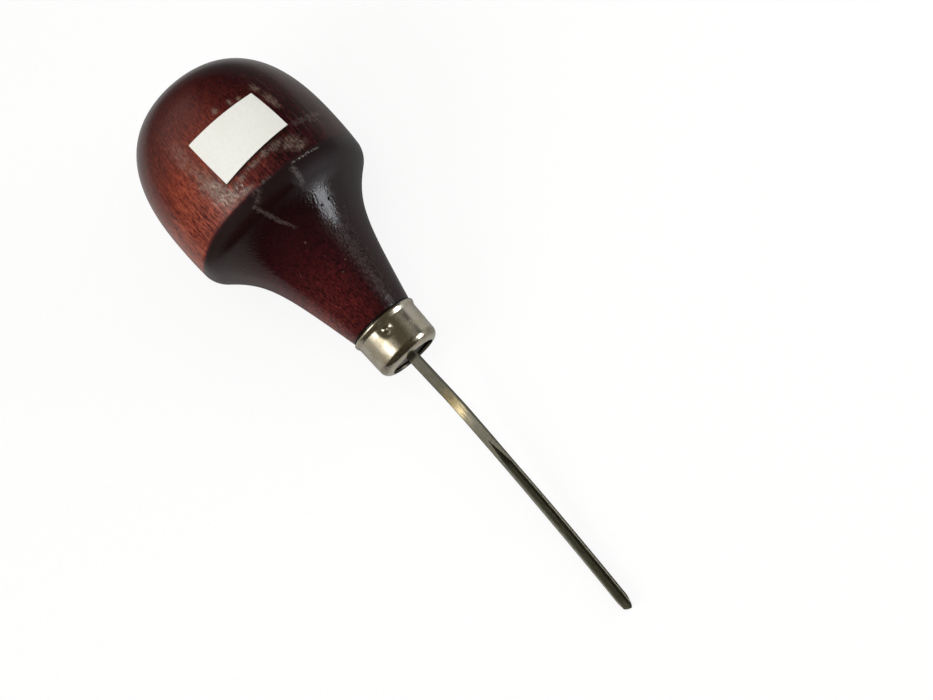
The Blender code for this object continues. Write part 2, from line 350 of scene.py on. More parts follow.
def makeHandleShape():
    h = handle
    seat = neckEnd + h["seatRise"]
    tenon = [
        (h["seatRadius"], neckEnd + h["seatEdge"]),
        (h["seatRadius"], seat),
        (h["tenonRadius"], seat),
        (h["tenonRadius"], tenonEnd - h["tenonChamfer"]),
        (h["tenonRadius"] - h["tenonChamfer"], tenonEnd),
    ]
    shape = spinOutline(faceted(head + tenon), h["steps"], False)
    bmesh.ops.remove_doubles(shape, verts=shape.verts, dist=bench["doubles"])
    rim = [e for e in shape.edges if e.is_boundary]
    # the tenon's end closes round a pocket for the tang
    halfX, halfY = h["pocketHalf"]
    pocket = bmesh.ops.create_circle(shape, segments=4, radius=1.0)["verts"]
    for vert, (sideX, sideY) in zip(pocket, ((1, 1), (-1, 1), (-1, -1), (1, -1))):
        vert.co = (sideX * halfX, sideY * halfY, tenonEnd)
    mouth = [e for e in shape.edges if all(v in pocket for v in e.verts)]
    bmesh.ops.bridge_loops(shape, edges=rim + mouth)
    deep = bmesh.ops.extrude_edge_only(shape, edges=mouth)["geom"]
    low = [g for g in deep if isinstance(g, bmesh.types.BMVert)]
    bmesh.ops.translate(shape, verts=low, vec=(0, 0, -h["pocketDepth"]))
    bmesh.ops.scale(shape, vec=(h["pocketTaper"], h["pocketTaper"], 1), verts=low)
    edges = [g for g in deep if isinstance(g, bmesh.types.BMEdge)]
    bmesh.ops.edgeloop_fill(shape, edges=[e for e in edges if all(v in low for v in e.verts)])
    tidyShape(shape)
    return shape


label = {
    # corners of the paper: station from the butt and angle from the open side
    "corners": ((15.2, -1.0), (14.9, 45.8), (23.7, 48.3), (25.3, 1.1)),
    "gap": 0.1,
    "lift": 0.03,
    "paper": 0.15,
    "cells": (36, 24),
    "sharpFrom": 40,
    "fixed": {"Specular IOR Level": 0.3},
    "noises": {"pulp": (1.6, 4.0, 0.65), "stain": (0.12, 2.0, 0.5)},
    "whites": ((0.80, 0.805, 0.765), (0.84, 0.845, 0.805)),
    "pulpRange": (0.3, 0.7),
    "yellowPaint": (0.5, (0.79, 0.79, 0.73)),
    "yellowRange": (0.45, 0.75),
    "roughness": (0.62, 0.2),  # plain, and more where the pulp stands up
    "bumpDepth": 0.00001,
}

# places on the wood are stations from the butt and angles in degrees from the open side;
# a pair of them is where a mask starts and where it is full
handle["wood"] = {
    "fixed": {"Specular IOR Level": 0.32},
    "noises": {  # scale, detail, roughness and stretch
        "cloud": (0.13, 2.0, 0.5, (1, 1, 0.5)),
        "streak": (1.0, 4.0, 0.62, (1.3, 1.3, 0.07)),
        "dash": (1.0, 3.0, 0.6, (2.7, 2.7, 0.36)),
        "pore": (1.0, 2.0, 0.5, (4.2, 4.2, 0.7)),
        "fine": (1.0, 3.0, 0.6, (6.5, 6.5, 0.4)),
        "mottle": (0.9, 4.0, 0.65),
        "grit": (2.4, 3.0, 0.7, (1, 1, 0.55)),
        "speckle": (2.6, 2.0, 0.6, (1, 1, 0.55)),
        "smear": (1.0, 4.0, 0.7, (2.4, 2.4, 0.8)),
        "hair": (1.0, 2.0, 0.5, (4.5, 4.5, 0.05)),
        "speck": (1.3, 1.0, 0.5),
        "stipple": (3.2, 3.0, 0.75),
        "peel": (1.0, 2.0, 0.5, (1.9, 1.9, 0.8)),
    },
    # how red the stain is along the dome and along the neck
    "domeSpan": 29,
    "domeRed": (
        (0.0, 0.22), (0.19, 0.36), (0.29, 0.44), (0.4, 0.57), (0.5, 0.65), (0.6, 0.75),
        (0.72, 0.84), (0.9, 0.88),
    ),
    "neckSpan": 60,
    "neckRed": ((0.5, 0.0), (0.6, 0.06), (0.7, 0.17), (0.83, 0.34), (0.89, 0.37), (0.97, 0.31)),
    "redMost": 1.3,
    "reds": (
        (0.0, (0.007, 0.0018, 0.0022)), (0.123, (0.027, 0.0032, 0.0042)),
        (0.277, (0.058, 0.0082, 0.0076)), (0.477, (0.115, 0.0190, 0.0125)),
        (0.77, (0.255, 0.0490, 0.0280)), (1.0, (0.380, 0.0860, 0.0460)),
    ),
    "neckTint": (0.97, 0.78, 0.95),
    # the red side of the wood: uneven stain, and painted light toward the key lamp
    "lowDome": (15, 24),
    "backFade": (-150, -95),
    "redAndLitSide": ((60, 5), (15, 30)),  # angles, and how far they turn low on the dome
    "paleDip": (0.3, (-28, -48), (24, 20)),
    "edgeGain": (0.5, (-48, -68)),
    "backAngle": -20,
    "backRed": (0.55, 2.5),
    "leastRed": (0.2, 0.08),
    "cloudRed": (0.6, 0.8),
    "grain": {  # amount, more of it on the red side, and more again low on the dome
        "streak": (0.45, 0, 0),
        "dash": (0.6, 0.9, 0.4),
        "fine": (0.7, 0, 0),
        "mottle": (0.2, 0.3, 0.5),
        "speckle": (0.75, 0.2, 0.6),
    },
    "poreRange": (0.56, 0.68),
    "poreDark": (0.05, 0.13),
    "glintRange": (0.52, 0.7),
    "glint": (0.08, 0.85),
    "stainEnd": (28.8, 30.0),  # the dome's red ends here, and the neck is nearly black
    "stainTear": 0.9,
    "stainDrop": (1.2, (-15, -65)),
    # painted light on the neck: lighter on the side toward the key lamp
    "neckLitSide": ((0.24, 0.76, (58, -2)), (1, 0.9, (-22, -65))),
    "neckLit": (0.7, 0.3),
    "neckStreak": (0.7, 0.6),
    "suede": {"mottle": 0.9, "speckle": 3.0, "dash": 1.5},
    # a dusty film on the dome, painted sheen down the neck, fine hairlines on the far side
    "dustAndSheen": (0.2, 0.19, 0.185),
    "domeDust": (0.055, ((2, 7), (20, 13)), ((-50, -30), (30, 5))),
    "neckSheen": (0.1, ((39, 42),), ((30, 42), (66, 52)), (0.42, 0.62)),
    "hairPaint": (0.5, (0.085, 0.062, 0.058)),
    "hairPlace": (((5, 14), (28.5, 26)), ((40, 60), (125, 90))),
    "hairRange": (0.56, 0.66),
    "hairBreaks": (0.35, 0.6),
    "spotDepth": 2.0,  # how far into the wood a spot of wear reaches
    # a hazy band of worn lacquer and painted sheen by the label, which turns down the dome
    "band": {
        "from": (13.6, -9.5),
        "drift": 0.27,
        "half": 5.6,
        "soft": 1.6,
        "tear": {"mottle": 7, "smear": 6},
        "ends": ((11, 15), (29, 26.5)),
        "thickens": (18, 25),
        "thickness": (0.45, 0.55),
    },
    # lines: a bent scratch down the neck, wear with a painted glint along the shoulder,
    # a thin scratch by the label and a rub below the shoulder
    "wobble": {"mottle": 1.1, "grit": 0.5},
    "lineEnd": 4,
    "ringWobble": 0.5,
    "ringFull": 0.4,
    "scratch": {
        "from": (31.2, 3.5),
        "bend": (0.392, 0.139),
        "length": 7.3,
        "wobble": 6,
        "width": (1.9, 0.7),
        "ends": (0.4, 1.2),
        "breaks": (0.34, 0.5),
        "paint": (0.6, (0.085, 0.062, 0.058)),
    },
    # worn lacquer on the shoulder's crisp edge, painted pale as the lamp's glint
    "shoulderWearAndGlint": {
        "place": (30.0, 37, 53, 0.26),
        "mix": {"grit": 1.0},
        "breaks": (0.43, 0.57),
        "paint": (0.8, (0.28, 0.255, 0.24)),
    },
    "thinLine": {
        "place": (24.0, 52, 76, 0.75),
        "mix": {"grit": 0.6, "smear": 0.4},
        "breaks": (0.42, 0.58),
        "paint": (0.6, (0.090, 0.068, 0.062)),
    },
    "rub": {
        "angle": 34.0,
        "stations": ((30.2, 30.7), (34.2, 33.4)),
        "wobble": 3.5,
        "width": (2.6, 0.6),
        "breaks": (0.36, 0.52),
        "paint": (0.6, (0.10, 0.088, 0.082)),
    },
    # specks and pits in the neck's lacquer
    "speckRange": (0.755, 0.79),
    "speckFrom": (33, 38),
    "speckPaint": (0.45, (0.15, 0.10, 0.09)),
    "pits": {
        "spots": [(37.55, 48.3, 0.24, 0.36, 0), (37.8, 40.4, 0.2, 0.22, 0)],
        "edge": ("mottle", 0.7, 0.2),
        "tone": (0.002, 0.002, 0.002),
    },
    # painted shadow by the label's edge, dirt in the joint, raw stippled wood on the tenon's end
    "labelShadowOff": 0.1,
    "labelShadowWidth": (0.34, 0.1),
    "labelShadowEnd": 1,
    "labelShadowPaint": (0.85, (0.010, 0.006, 0.005)),
    "jointFrom": (-0.5, -0.05),
    "jointPaint": (0.9, (0.004, 0.003, 0.003)),
    "rawFrom": (-0.5, -0.1),
    "rawTones": ((0.4, (0.02, 0.018, 0.016)), (0.62, (0.40, 0.38, 0.355))),
    "rawShade": (0.012, 0.011, 0.010),
    "rawShadeFrom": (-1.5, 2.5),
    # the shoulder's edge is dull, furthest down on one side, and the neck is glossy
    "glossFrom": (32.8, 35.5),
    "dullTo": (31.8, 2.6, (27, 35)),
    "dullTear": {"turned": 8, "end": 1.2},
    "dullEnd": (-1.3, 1.0),
    "dullPlace": ((29.1, 29.7), ((-60, -40), (76, 60))),
    "roughness": 0.20,
    "roughMore": {"gloss": -0.04, "brow": 0.42, "wear": 0.2, "rawEnd": 0.4, "pits": 0.8},
    "roughMottle": (0.06, 0.08),
    "roughStreak": 0.08,
    "peel": (0.3, 1.5),
    "grainRise": ({"fine": 0.4, "dash": 0.3}, 0.7),
    "markRise": {"pits": -5, "scratch": 0.7, "shoulder": 1.0, "flecks": -0.6},
    "bumpDepth": 0.00003,
}


# side grain takes the stain red, end grain takes it nearly black; painted light on the lit side
def stainWood(w):
    s = handle["wood"]
    turned, station = w.turned, w.station
    outward = w.tool.vector("MULTIPLY", (1, 1, 0)).vector("NORMALIZE")
    flank = outward.vector("DOT_PRODUCT", facing(radians(s["backAngle"])), "Value")
    lower = station.step(*s["lowDome"])
    fade = turned.step(*s["backFade"])
    (start, end), (startTurn, endTurn) = s["redAndLitSide"]
    near = turned.step(start - startTurn * lower, end - endTurn * lower) * fade
    dip, dipAround, dipAlong = s["paleDip"]
    near = near * (1 - dip * turned.step(*dipAround) * station.step(*dipAlong))
    gain, gainAround = s["edgeGain"]
    near = near * (1 + gain * turned.step(*gainAround))
    back, power = s["backRed"]
    # painted light: lit is lighter and redder toward the key lamp, over uneven stain
    lit = near.larger(back * (0 - flank).larger(0) ** power)
    least = s["leastRed"][0] - s["leastRed"][1] * lower
    dome = (station / s["domeSpan"]).levels(*s["domeRed"])
    red = dome * lit.spread(least, 1 - least) * w.cloud.spread(*s["cloudRed"])
    # painted highlights: glints along the grain on the lit side, low on the dome
    glintLess, glint = s["glint"]
    grain = (w.fine.step(*s["glintRange"]) - glintLess) * lit * lower * glint
    for name, (amount, more, low) in s["grain"].items():
        grain = grain + getattr(w, name).swing(lit.spread(amount, lower.spread(more, low)))
    grain = grain - w.pore.step(*s["poreRange"]) * lit.spread(*s["poreDark"])
    red = red + dome * grain
    neck = (station / s["neckSpan"]).levels(*s["neckRed"])
    # painted light: the neck is lighter on the side toward the key lamp
    for least, more, around in s["neckLitSide"]:
        neck = neck * (turned.step(*around) * fade).spread(least, more)
    suede = swingParts(w, s["suede"])
    neck = neck * (lit.spread(*s["neckLit"]) * w.streak.spread(*s["neckStreak"]) + suede)
    drop, dropAround = s["stainDrop"]
    ragged = station + w.mottle.swing(s["stainTear"]) - turned.step(*dropAround) * drop
    below = ragged.step(*s["stainEnd"])
    red = red * (1 - below) + neck * below
    colour = (red / s["redMost"]).ramp(*s["reds"])
    return below.blend(colour, s["neckTint"], "MULTIPLY")


def dustAndSheenWood(w, colour):
    s = handle["wood"]
    amount, along, around = s["domeDust"]
    dustAndSheen = w.station.within(*along) * w.turned.within(*around) * amount
    # painted sheen: faint grey specks carry the lamp's streak down the neck
    amount, along, around, grains = s["neckSheen"]
    neckSheen = w.station.within(*along) * w.turned.within(*around) * amount
    dustAndSheen = dustAndSheen + neckSheen * w.speckle.step(*grains)
    colour = dustAndSheen.blend(colour, s["dustAndSheen"])
    along, around = s["hairPlace"]
    hair = w.hair.step(*s["hairRange"]) * w.turned.within(*around) * w.station.within(*along)
    hair = hair * w.streak.step(*s["hairBreaks"])
    return hair.paint(colour, *s["hairPaint"])


# worn lacquer: spots with station, angle, half sizes round and along, and slant;
# edge is the noise that tears them, how far in they are full and how torn they are
handle["worn"] = {
    # hazy spots: worn lacquer under a painted sheen where the key lamp's highlight falls
    "haze": {
        "spots": [
            (25.0, -4.5, 2.2, 2.4, 0), (27.3, -2.0, 3.2, 2.2, 0), (28.6, 6.0, 2.6, 1.0, 0),
        ],
        "edge": ("mottle", 0.0, 0.9),
        "cover": ({"smear": 0.35, "mottle": 0.65}, (0.4, 0.58), 0.55),
        "amount": 0.9,
        "toneMix": {"mottle": 0.55, "dash": 0.45},
        "tones": (
            (0.38, (0.100, 0.073, 0.060)), (0.5, (0.155, 0.116, 0.096)),
            (0.62, (0.250, 0.190, 0.165)),
        ),
    },
    # pale fleck marks: worn lacquer with painted glints of the key lamp
    "flecks": {
        "spots": [
            (24.3, -5, 1.8, 1.6, 0), (26.8, -4.5, 2.6, 2.2, 0), (28.2, -2, 2.8, 1.2, 0),
            (27.6, 4, 2.0, 1.4, 0),
        ],
        "edge": ("mottle", 0.2, 1.1),
        "cover": ({"smear": 0.5, "grit": 0.5}, (0.47, 0.58), 0.0),
        "amount": 0.8,
        "tone": (0.42, 0.33, 0.29),
    },
    "scuffs": {
        "spots": [
            (25.6, 35, 2.6, 1.3, 0), (26.6, 42, 3.0, 1.9, 0), (28.0, 46, 2.6, 1.5, 0),
            (25.6, 28, 2.0, 1.0, 0), (25.9, 19, 2.6, 0.9, 0), (26.4, 9, 2.2, 0.9, 0),
        ],
        "edge": ("mottle", 0.1, 1.1),
        "cover": ({"smear": 0.5, "grit": 0.5}, (0.4, 0.58), 0.25),
        "amount": 0.85,
        "toneMix": {"fine": 0.5, "grit": 0.5},
        "tones": ((0.4, (0.050, 0.032, 0.025)), (0.62, (0.215, 0.158, 0.124))),
    },
    "strokes": {
        "spots": [
            (30.0, 10, 1.3, 1.2, 0), (31.3, 7.5, 1.0, 0.9, 0), (29.4, 18, 2.0, 0.6, 0),
            (24.9, 66, 1.7, 0.7, 0),
        ],
        "edge": ("grit", 0.1, 1.2),
        "cover": ({"smear": 1.0}, (0.46, 0.56), 0.0),
        "amount": 0.7,
        "tone": (0.088, 0.068, 0.062),
    },
    "residue": {
        "spots": [
            (13.5, 22.6, 1.0, 1.1, 10), (13.9, 32.6, 0.7, 1.1, -8), (14.2, 38.1, 0.7, 0.8, 5),
            (14.0, 51.0, 1.1, 1.6, 0), (17.8, 52.5, 1.3, 3.0, 4),
        ],
        "edge": ("grit", 0.1, 1.5),
        "cover": ({"smear": 1.0}, (0.36, 0.6), 0.25),
        "amount": 0.8,
        "tone": (0.175, 0.122, 0.095),
    },
}


# a mask of torn spots
def spotMask(w, kind):
    name, full, torn = kind["edge"]
    found = None
    for station, angle, around, along, slant in kind["spots"]:
        centre = facing(radians(angle)) * headRadiusAt(station) + Vector((0, 0, station))
        turn = (radians(slant), 0, pi - radians(angle))
        local = w.tool.seenFrom(centre, turn, (handle["wood"]["spotDepth"], around, along))
        away = local.vector("LENGTH", out="Value")  # 1 at the edge of its oval
        spot = (away + getattr(w, name).swing(torn)).step(1.0, full)
        found = found.larger(spot) if found else spot
    return found


# worn lacquer under a painted sheen of the key lamp, in a band beside the label
def hazeAndSheenBand(w):
    b = handle["wood"]["band"]
    station, angle = b["from"]
    off = w.turned - angle - (w.station - station) * b["drift"] + swingParts(w, b["tear"])
    band = abs(off).step(b["half"] * b["soft"], 0) * w.station.within(*b["ends"])
    return band * w.station.step(*b["thickens"]).spread(*b["thickness"])


def wearWood(w, colour):
    w.wear = 0
    for name, kind in handle["worn"].items():
        mask = spotMask(w, kind)
        if name == "haze":
            mask = mask.larger(hazeAndSheenBand(w))
        parts, grains, least = kind["cover"]
        mask = mask * mixParts(w, parts).step(*grains).spread(least, 1 - least)
        tone = kind.get("tone")
        if not tone:
            tone = mixParts(w, kind["toneMix"]).ramp(*kind["tones"])
        colour = mask.paint(colour, kind["amount"], tone)
        w.wear = w.wear + mask
        setattr(w, name, mask)
    return colour


def scratchWood(w, colour):
    s = handle["wood"]
    wobble = swingParts(w, s["wobble"])
    line = s["scratch"]
    run = w.station - line["from"][0]
    bend = line["from"][1] + run * (line["bend"][0] + run * line["bend"][1])
    aside = abs(w.turned - bend + wobble * line["wobble"])
    first, last = line["ends"]
    ends = run.within((0, first), (line["length"], line["length"] - last))
    w.scratch = aside.step(*line["width"]) * ends * w.grit.step(*line["breaks"])
    colour = w.scratch.paint(colour, *line["paint"])
    # the shoulder's line is worn lacquer with a painted glint; the thin line is a scratch
    for name, key in (("shoulder", "shoulderWearAndGlint"), ("thin", "thinLine")):
        line = s[key]
        station, start, end, width = line["place"]
        off = abs(w.station - station + wobble * s["ringWobble"])
        fade = s["lineEnd"]
        ends = w.turned.within((start - fade, start + fade), (end + fade, end - fade))
        mask = off.step(width, width * s["ringFull"]) * ends
        mask = mask * mixParts(w, line["mix"]).step(*line["breaks"])
        colour = mask.paint(colour, *line["paint"])
        setattr(w, name, mask)
    line = s["rub"]
    aside = abs(w.turned - line["angle"] + wobble * line["wobble"])
    mask = aside.step(*line["width"]) * w.station.within(*line["stations"])
    mask = mask * w.grit.step(*line["breaks"])
    return mask.paint(colour, *line["paint"])


def dirtyWood(w, colour):
    s = handle["wood"]
    speck = w.speck.step(*s["speckRange"]) * w.station.step(*s["speckFrom"])
    colour = speck.paint(colour, *s["speckPaint"])
    w.pits = spotMask(w, s["pits"])
    colour = w.pits.blend(colour, s["pits"]["tone"])
    # painted shadow: a dark line along the label's lower edge
    (endAt, endAngle), (startAt, startAngle) = label["corners"][2:]
    edge = startAt + (w.turned - startAngle) * ((endAt - startAt) / (endAngle - startAngle))
    labelShadow = abs(w.station - edge - s["labelShadowOff"]).step(*s["labelShadowWidth"])
    fade = s["labelShadowEnd"]
    ends = ((startAngle - fade, startAngle + fade), (endAngle + fade, endAngle - fade))
    labelShadow = labelShadow * w.turned.within(*ends)
    colour = labelShadow.paint(colour, *s["labelShadowPaint"])
    joint = w.station.step(*(neckEnd + off for off in s["jointFrom"]))
    colour = joint.paint(colour, *s["jointPaint"])
    w.rawEnd = w.station.step(*(tenonEnd + off for off in s["rawFrom"]))
    stipple = w.stipple.ramp(*s["rawTones"])
    # painted shade: the raw end is darker towards +Y, deep inside the ferrule
    stipple = w.y.step(*s["rawShadeFrom"]).blend(stipple, s["rawShade"])
    return w.rawEnd.blend(colour, stipple)


def makeWoodFinish():
    s = handle["wood"]
    finish, shader, w = newFinish("stainedHardwood", s["fixed"], s["noises"])
    w.y, w.station = w.tool.axis(1), w.tool.axis(2)
    w.turned = w.tool.maths("ARCTAN2", w.y, 0 - w.tool.axis(0)) * degrees(1)
    w.gloss = w.station.step(*s["glossFrom"])
    colour = stainWood(w)
    for layer in (dustAndSheenWood, wearWood, scratchWood, dirtyWood):
        colour = layer(w, colour)
    feed(shader, "Base Color", colour)
    *dullTo, around = s["dullTo"]
    torn = w.turned + w.mottle.swing(s["dullTear"]["turned"])
    dullEnd = torn.step(*around).spread(*dullTo) - w.station + w.grit.swing(s["dullTear"]["end"])
    along, around = s["dullPlace"]
    w.brow = w.station.step(*along) * w.turned.within(*around)
    w.brow = w.brow * dullEnd.step(*s["dullEnd"])
    rough = s["roughness"] + mixParts(w, s["roughMore"])
    rough = rough + w.mottle.swing(w.gloss.spread(*s["roughMottle"]))
    rough = rough + w.streak.swing(s["roughStreak"])
    feed(shader, "Roughness", rough)
    height = w.peel * w.gloss.spread(*s["peel"]) + mixParts(w, s["markRise"])
    parts, less = s["grainRise"]
    height = height + mixParts(w, parts) * (1 - w.gloss * less)
    feedBump(shader, height, s["bumpDepth"])
    return finish


finishPiece("turnedHandle", makeHandleShape(), makeWoodFinish(), "handle", handle["sharpFrom"])

ferrule = {
    "wallRear": 6.55,
    "wallFront": 6.42,
    "wall": 0.45,
    "wallPoints": 20,
    "opening": 4.65,
    "cornerPoints": 14,
    "innerPoints": 10,
    "flare": 0.33,
    "rimWidth": 1.3,
    "rimPoints": 18,
    "flareShare": 0.82,  # the rest of the rim's width is a plain bead
    "edgeRound": 0.12,
    "edgeHalf": 0.14,
    "edgeRise": 0.03,
    "punchRadius": 0.95,
    "punchDepth": 0.28,
    "punchSetback": 2.3,
    "punchAngle": radians(10),
    "punchReach": 1.5,  # the wall is cut finer this far from the mark
    "punchCuts": 2,
    "dishDepth": 0.64,  # the wall gives way round the mark
    "dishReach": 0.75,
    "dishEnd": 4,  # times its reach
    "steps": 176,
    "sharpFrom": 50,
}


def makeFerruleShape():
    f = ferrule
    corner = f["wallFront"] - f["opening"]
    wallFrom, wallTo = ferruleFront - corner, ferruleRear + f["rimWidth"]

    def wallRadius(t):
        return f["wallFront"] + (f["wallRear"] - f["wallFront"]) * t

    outer = arcPoints(f["opening"], wallFrom, corner, pi / 2, 0, f["cornerPoints"])
    outer += [
        (wallRadius(t), wallFrom + (wallTo - wallFrom) * t)
        for t in np.linspace(0, 1, f["wallPoints"])[1:-1]
    ]
    outer += [
        (
            f["wallRear"] + f["flare"] * (1 - cos(pi * min(t / f["flareShare"], 1))) / 2,
            ferruleRear + f["edgeRound"] + (f["rimWidth"] - f["edgeRound"]) * (1 - t),
        )
        for t in np.linspace(0, 1, f["rimPoints"])
    ]
    rimMiddle = f["wallRear"] + f["flare"] - f["wall"] / 2
    edge = [
        (rimMiddle + f["edgeHalf"], ferruleRear + f["edgeRise"]),
        (rimMiddle, ferruleRear),
        (rimMiddle - f["edgeHalf"], ferruleRear + f["edgeRise"]),
    ]
    inner = [(r - f["wall"], z) for r, z in outer[: f["cornerPoints"] - 1 : -1]]
    inner += arcPoints(f["opening"], wallFrom, corner - f["wall"], 0, pi / 2, f["innerPoints"])
    shape = spinOutline(faceted(outer + edge + inner), f["steps"], True)
    tidyShape(shape)
    # one punch mark dents the wall
    out = facing(f["punchAngle"])
    station = ferruleRear + f["punchSetback"]

    def awayFromPunch(co):
        side = Vector((out.y, -out.x, 0)).dot(co)
        return sqrt(side**2 + (co.z - station) ** 2) if co.dot(out) > 0 else inf

    reach, ball = f["punchReach"], f["punchRadius"]
    near = [e for e in shape.edges if max(awayFromPunch(v.co) for v in e.verts) < reach]
    bmesh.ops.subdivide_edges(shape, edges=near, cuts=f["punchCuts"], use_grid_fill=True)
    sunkFrom = ball - f["punchDepth"]
    dent = sqrt(ball**2 - sunkFrom**2)
    for vert in shape.verts:
        away = awayFromPunch(vert.co)
        if away > reach:
            continue
        # the fresh points go back to the round wall before the dent is pressed
        radius = vert.co.xy.length
        wall = wallRadius((vert.co.z - wallFrom) / (wallTo - wallFrom)) * bench["facet"]
        goal = wall if radius > wall - f["wall"] / 2 else wall - f["wall"]
        vert.co.x, vert.co.y = vert.co.x * goal / radius, vert.co.y * goal / radius
        if away < dent:
            vert.co -= out * (sqrt(ball**2 - away**2) - sunkFrom)
    for vert in shape.verts:
        away = awayFromPunch(vert.co)
        if away < f["dishEnd"] * f["dishReach"]:
            vert.co -= out * f["dishDepth"] * exp(-((away / f["dishReach"]) ** 2) / 2)
    faceOut(shape)
    return shape


# places are distances from the ferrule's rear, and below zero from its front
ferrule["nickel"] = {
    "fixed": {"Metallic": 1.0},
    "noises": {
        "cloud": (0.45, 3.0, 0.6),
        "smear": (1.0, 3.0, 0.6, (2.5, 2.5, 0.6)),
        "fine": (6.0, 2.0, 0.6),
    },
    "plate": ((0.63, 0.585, 0.495), (0.53, 0.49, 0.37)),
    "plateRange": (0.35, 0.7),
    "tarnishPaint": (0.45, (0.24, 0.19, 0.13)),
    "tarnishPlace": ((0.5, 0.8), (1.7, 1.0)),
    "tarnishRange": (0.35, 0.65),
    "cornerDarkReflection": (0.15, 0.105, 0.07),
    "cornerPlace": ((-2.2, -1.3), (-0.2, -0.7)),
    "cornerRange": (0.3, 0.7),
    "cornerAmount": (0.3, 0.5),
    "wallPlace": ((0.8, 1.6), (-1.4, -2.2)),
    "wallRange": (0.4, 0.65),
    "wallRough": (0.03, 0.09),
    "roughness": 0.12,
    "roughMore": {"cloud": 0.10, "tarnish": 0.1, "worn": 1.0},
    "roughFine": 0.06,
    "rise": {"cloud": 1.0, "smear": 0.04},
    "bumpDepth": 0.000026,
}


def makeNickelFinish():
    n = ferrule["nickel"]
    finish, shader, w = newFinish("nickelPlate", n["fixed"], n["noises"])
    station = w.tool.axis(2)
    fromRear, fromFront = station - ferruleRear, station - ferruleFront
    colour = w.cloud.step(*n["plateRange"]).blend(*n["plate"])
    w.tarnish = fromRear.within(*n["tarnishPlace"]) * w.smear.step(*n["tarnishRange"])
    colour = w.tarnish.paint(colour, *n["tarnishPaint"])
    # painted reflection: the front corner is painted darker and browner
    corner = w.smear.step(*n["cornerRange"]).spread(*n["cornerAmount"])
    corner = corner * fromFront.within(*n["cornerPlace"])
    feed(shader, "Base Color", corner.blend(colour, n["cornerDarkReflection"]))
    rear, front = n["wallPlace"]
    wall = fromRear.step(*rear) * fromFront.step(*front)
    w.worn = wall * w.cloud.step(*n["wallRange"]).spread(*n["wallRough"])
    rough = n["roughness"] + mixParts(w, n["roughMore"]) + w.fine.swing(n["roughFine"])
    feed(shader, "Roughness", rough)
    feedBump(shader, mixParts(w, n["rise"]), n["bumpDepth"])
    return finish


finishPiece("drawnFerrule", makeFerruleShape(), makeNickelFinish(), "ferrule", ferrule["sharpFrom"])

blade = {
    "tangLength": 26.0,
    "tangPoint": 0.9,
    "shankWidth": 1.95,
    "shankThickness": 1.6,
    "shankDip": radians(6),
    "dipSpan": 1.0,
    "crankAt": 11.6,
    "crankSpan": 3.6,
    "reach": 60.298,
    "width": 2.22,
    "flareSpan": 24.0,
    "sweep": radians(11),
    "edgeBreak": 0.12,
    "grooveAt": 20.6,
    "grooveRunout": 5.8,
    "grooveAngle": radians(60),
    "wallParts": (0.12, 0.3, 0.5, 0.7, 0.86),  # points up the groove's wall
    "rootEase": 0.02,  # the groove's bottom is a little blunt
    "rootDepth": 0.96,
    "landWidth": 0.28,
    "sideHeight": 0.6,
    "keelWall": 0.55,
    "keelRound": 0.18,
    "keelEase": 3,
    "bevelLength": 1.3,
    "cuttingEdge": 0.1,
    "noseLength": 1.1,
    "noseSpan": 5.0,
    # sections in the tang, its mouth, the dip, shank, crank, flat, run-out, channel and bevel
    "sections": (3, 3, 5, 8, 13, 8, 19, 40, 9),
    "sharpFrom": 22,
}
crankFrom = blade["crankAt"] - blade["crankSpan"] / 2
crankTo = blade["crankAt"] + blade["crankSpan"] / 2
grooveFull = blade["grooveAt"] + blade["grooveRunout"]
bevelFrom = blade["reach"] - blade["bevelLength"]


def share(value, start, end):
    return min(max((value - start) / (end - start), 0.0), 1.0)


# each point of one outline moved a part of the way to its partner
def between(points, others, part):
    return [tuple(np.array(p) * (1 - part) + np.array(o) * part) for p, o in zip(points, others)]


# point (z, height) on the blade's centre line and its slope there
def alongBlade(distance):
    b = blade
    runs = (
        (b["dipSpan"], -b["shankDip"]),
        (crankFrom - b["dipSpan"], 0),
        (b["crankSpan"], b["shankDip"]),
        (b["reach"] - crankTo, b["sweep"]),
    )
    z, height, slope, left = ferruleFront, 0.0, 0.0, distance
    if distance <= 0:
        return z + distance, height, slope
    for number, (length, turn) in enumerate(runs):
        step = left if number == len(runs) - 1 else min(left, length)
        bend = turn * step / length
        chord = step * (sin(bend / 2) / (bend / 2) if bend else 1)
        z += chord * cos(slope + bend / 2)
        height += chord * sin(slope + bend / 2)
        slope += bend
        left -= step
        if left <= 0:
            break
    return z, height, slope


